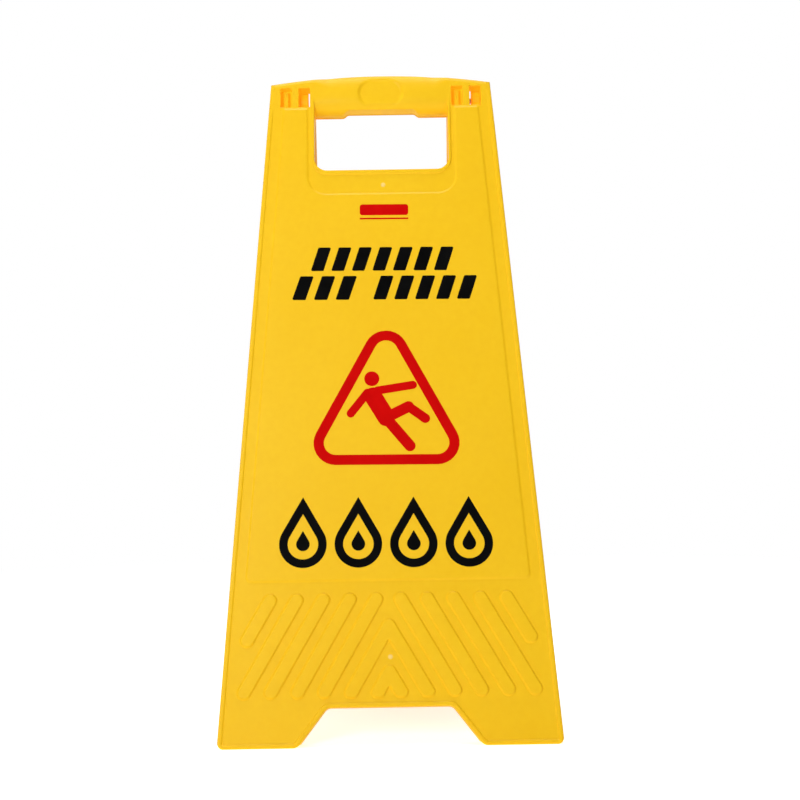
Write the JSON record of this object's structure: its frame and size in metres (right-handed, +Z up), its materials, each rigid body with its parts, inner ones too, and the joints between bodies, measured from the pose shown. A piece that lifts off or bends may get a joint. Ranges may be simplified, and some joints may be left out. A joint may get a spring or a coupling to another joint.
{
  "type": "folding wet floor sign",
  "caption": "Free-standing folding A-frame floor sign: twin moulded panels hinged at the top, with a hand opening, half-round grip, ribbed lower field and printed slip warning marks.",
  "frame": {"origin": "on the floor, midway between the four feet", "axes": "+Z up, +X along the hinge to the right as seen from the front, and the front panel faces -Y; at rest the sign stands open"},
  "size_m": [0.299, 0.3034, 0.6053],
  "materials": {
    "yellow_plastic": "satin moulded polypropylene, fine grain",
    "pin_steel": "plain drawn wire",
    "red_ink": "screen-printed ink, slight gloss",
    "black_ink": "screen-printed ink, slight gloss"
  },
  "bodies": {
    "front": {"front_panel": "yellow_plastic", "left_hinge_pin": "pin_steel", "front_warning_triangle": "red_ink", "front_slip_figure": "red_ink", "front_hazard_dashes": "black_ink", "front_water_drops": "black_ink", "front_maker_bar": "red_ink"},
    "rear": {"rear_panel": "yellow_plastic", "right_hinge_pin": "pin_steel", "rear_warning_triangle": "red_ink", "rear_slip_figure": "red_ink", "rear_hazard_dashes": "black_ink", "rear_water_drops": "black_ink", "rear_maker_bar": "red_ink"}
  },
  "joints": [
    {"name": "fold", "type": "hinge", "parent": "front", "child": "rear", "pos_m": [0, 0, 0.58102], "axis": [1, 0, 0], "range_deg": [-26, 0]}
  ]
}
